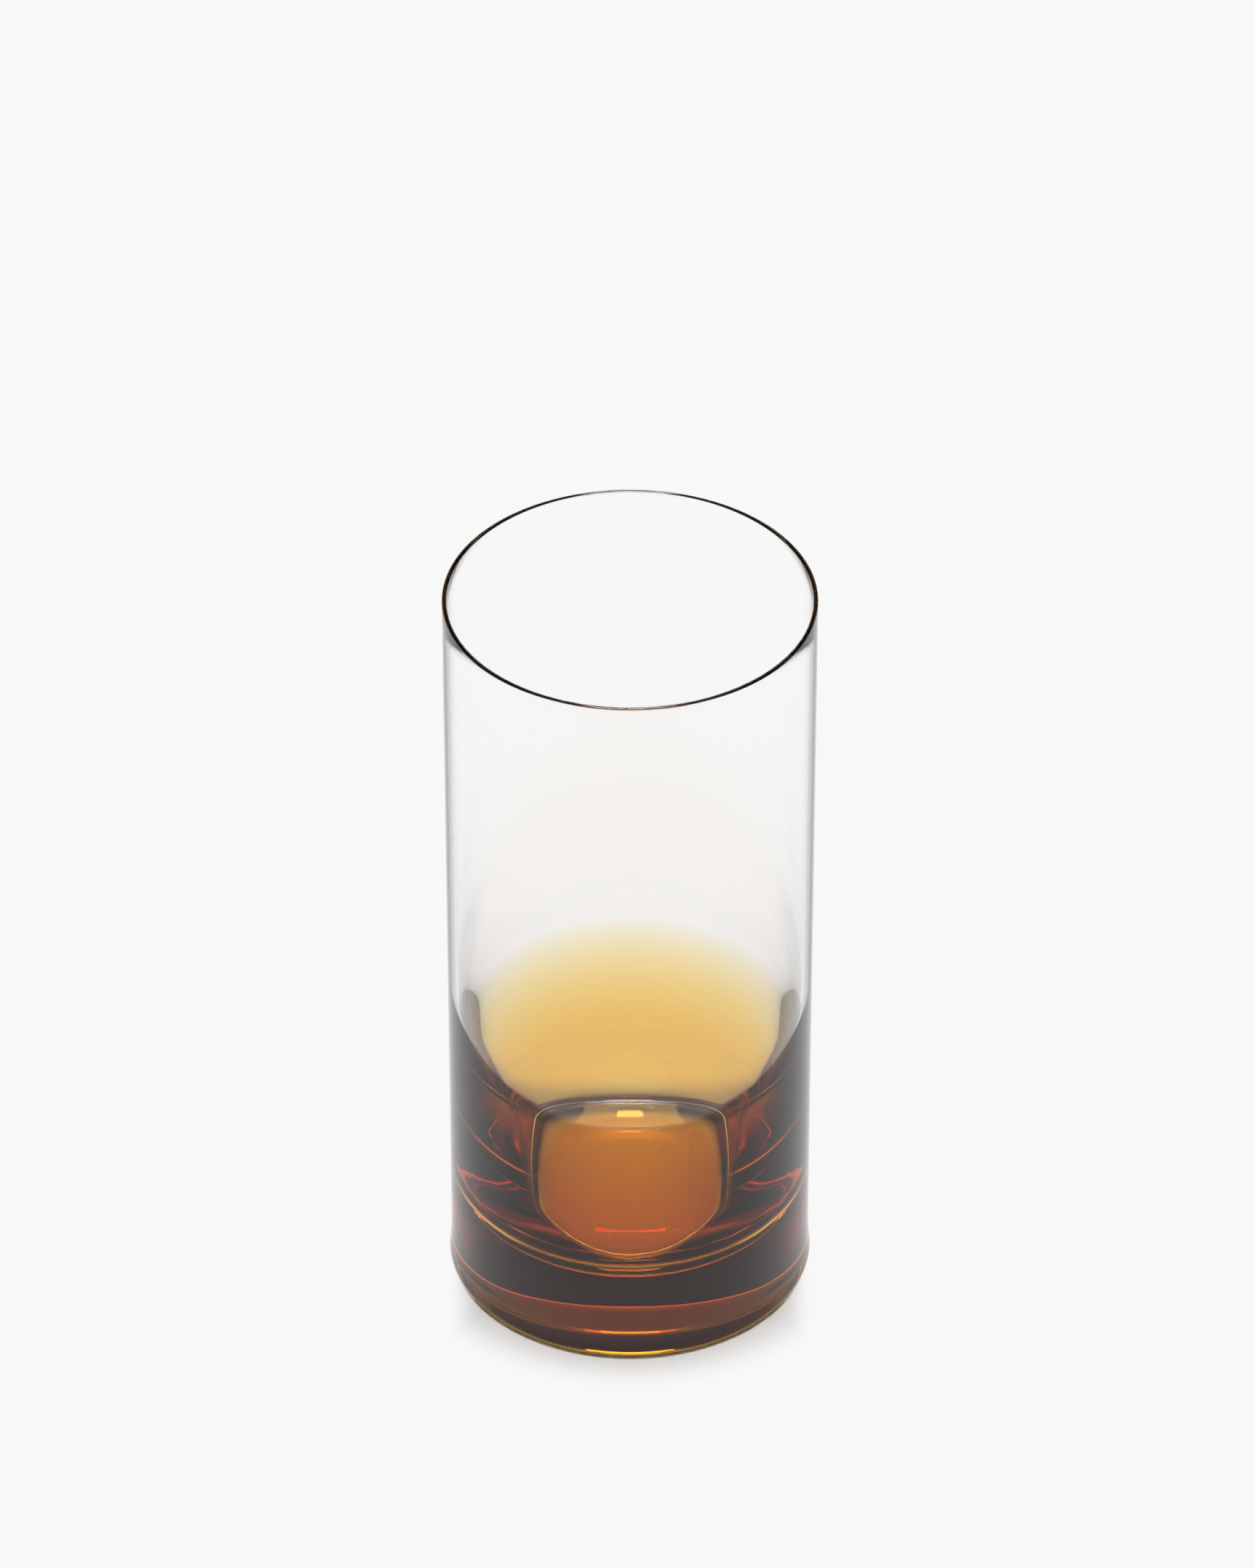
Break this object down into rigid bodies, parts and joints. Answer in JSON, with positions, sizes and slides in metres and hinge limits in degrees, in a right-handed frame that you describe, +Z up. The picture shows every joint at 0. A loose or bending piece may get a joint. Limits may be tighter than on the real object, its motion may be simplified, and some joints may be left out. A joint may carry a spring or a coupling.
{
  "type": "highball glass",
  "caption": "Tall straight-sided drinking glass with a heavy foot: a clear blown body whose lower end is cased in amber glass that fades out up the wall.",
  "frame": {"origin": "centre of the foot's underside, on the surface the glass stands on", "axes": "+Z up along the axis the glass is turned about, -Y towards the viewer of the picture"},
  "size_m": [0.0722, 0.0722, 0.16],
  "materials": {
    "clear_glass": "polished",
    "amber_glass": "polished"
  },
  "bodies": {
    "root": {"clear_body": "clear_glass", "amber_overlay": "amber_glass"}
  },
  "joints": []
}
